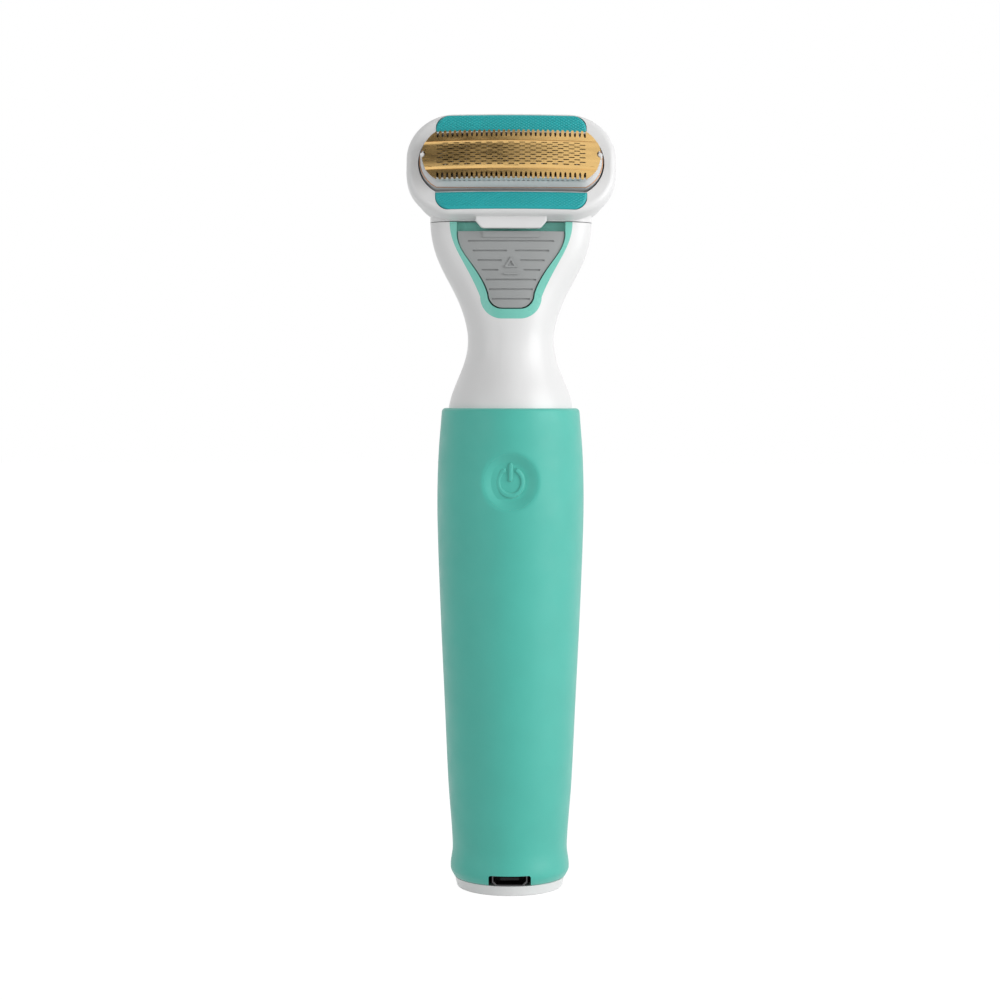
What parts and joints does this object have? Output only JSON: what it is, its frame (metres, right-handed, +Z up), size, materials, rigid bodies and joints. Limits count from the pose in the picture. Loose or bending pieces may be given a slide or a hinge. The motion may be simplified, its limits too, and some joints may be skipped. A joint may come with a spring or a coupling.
{
  "type": "cordless foil body shaver",
  "caption": "Cordless body shaver with a soft round grip, waisted neck, thumb eject slider and a tilted T-shaped foil and comb head that lifts off.",
  "frame": {"origin": "centre of the base cap's flat foot, on the surface that it stands on", "axes": "+Z up the handle to the head, the foil faces -Y, +X to the right of the foil"},
  "size_m": [0.0444, 0.0316, 0.1662],
  "materials": {
    "white_shell": "glossy moulded ABS",
    "teal_grip": "soft-touch matte silicone",
    "core_plastic": "moulded, hidden",
    "bezel_teal": "satin moulded",
    "slider_grey": "fine satin texture",
    "cushion_teal": "raised knurl",
    "cassette_grey": "glossy moulded",
    "foil_gold": "gold titanium-coloured steel, satin",
    "steel": "bright",
    "socket_steel": "tin plated",
    "black_plastic": "moulded",
    "board_green": "solder mask",
    "chip_black": "moulded epoxy",
    "battery_wrap": "shrink sleeve",
    "nickel": "strip",
    "wire_red": "insulated lead",
    "bronze": "sintered",
    "magnet": "ferrite",
    "lever_white": "acetal",
    "seal_rubber": "moulded"
  },
  "bodies": {
    "handle": {"base_cap": "white_shell", "grip_sleeve": "teal_grip", "grip_core": "core_plastic", "tact_switch": "chip_black", "usb_shell": "socket_steel", "usb_insert": "black_plastic", "charging_board": "board_green", "chassis": "core_plastic", "battery": "battery_wrap", "battery_tabs": "nickel", "battery_lead": "wire_red", "charge_wires": "wire_red", "main_board": "board_green", "board_parts": "chip_black", "board_screws": "steel", "neck_front_shell": "white_shell", "neck_rear_shell": "white_shell", "slider_bezel": "bezel_teal", "slider_spring": "steel", "motor_bracket": "core_plastic", "bracket_screws": "steel", "motor_end_cap": "black_plastic", "motor_can": "steel", "motor_bush": "bronze", "motor_magnets": "magnet", "motor_leads": "wire_red", "lever_pin": "steel", "drive_seal": "seal_rubber"},
    "power_button": {"button_pad": "teal_grip", "button_plunger": "core_plastic", "switch_stem": "lever_white"},
    "slider": {"eject_slider": "slider_grey"},
    "rotor": {"motor_rotor": "steel", "eccentric_cam": "lever_white"},
    "lever": {"drive_lever": "lever_white", "lever_bush": "bronze"},
    "head": {"head_frame": "white_shell", "head_housing": "white_shell", "cushion_upper": "cushion_teal", "cushion_lower": "cushion_teal"},
    "cassette": {"cassette_frame": "cassette_grey", "shaving_foil": "foil_gold", "foil_springs": "steel"},
    "cutter": {"cutter_carrier": "black_plastic", "inner_blades": "steel", "comb_cutter_upper": "steel", "comb_cutter_lower": "steel"}
  },
  "joints": [
    {"name": "power_press", "type": "slide", "parent": "handle", "child": "power_button", "axis": [0, 1, 0], "range_m": [0, 0.0006], "stiffness_N_per_m": 3000, "springref_m": -0.0002},
    {"name": "eject_slide", "type": "slide", "parent": "handle", "child": "slider", "axis": [0, 0, 1], "range_m": [0, 0.002], "stiffness_N_per_m": 300, "springref_m": -0.001, "deforming": ["slider_spring"]},
    {"name": "motor_spin", "type": "hinge", "parent": "handle", "child": "rotor", "pos_m": [0, 0, 0.12], "axis": [0, 0, 1], "range_deg": [-60, 60]},
    {"name": "lever_swing", "type": "hinge", "parent": "handle", "child": "lever", "pos_m": [0, 0, 0.1375], "axis": [0, 1, 0], "range_deg": [-6.5, 6.5]},
    {"name": "head_lift", "type": "slide", "parent": "handle", "child": "head", "axis": [0, 0, 1], "range_m": [0, 0.022]},
    {"name": "foil_float", "type": "slide", "parent": "head", "child": "cassette", "axis": [0, 0.9397, -0.342], "range_m": [0, 0.0012], "stiffness_N_per_m": 500, "springref_m": -0.001, "deforming": ["foil_springs"]},
    {"name": "cutter_stroke", "type": "slide", "parent": "cassette", "child": "cutter", "axis": [1, 0, 0], "range_m": [-0.00145, 0.00145]}
  ],
  "couplings": [
    {"joint": "lever_swing", "follows": "cutter_stroke", "rad_per_m": 71.957},
    {"joint": "motor_spin", "follows": "cutter_stroke", "rad_per_m": -724.64}
  ]
}
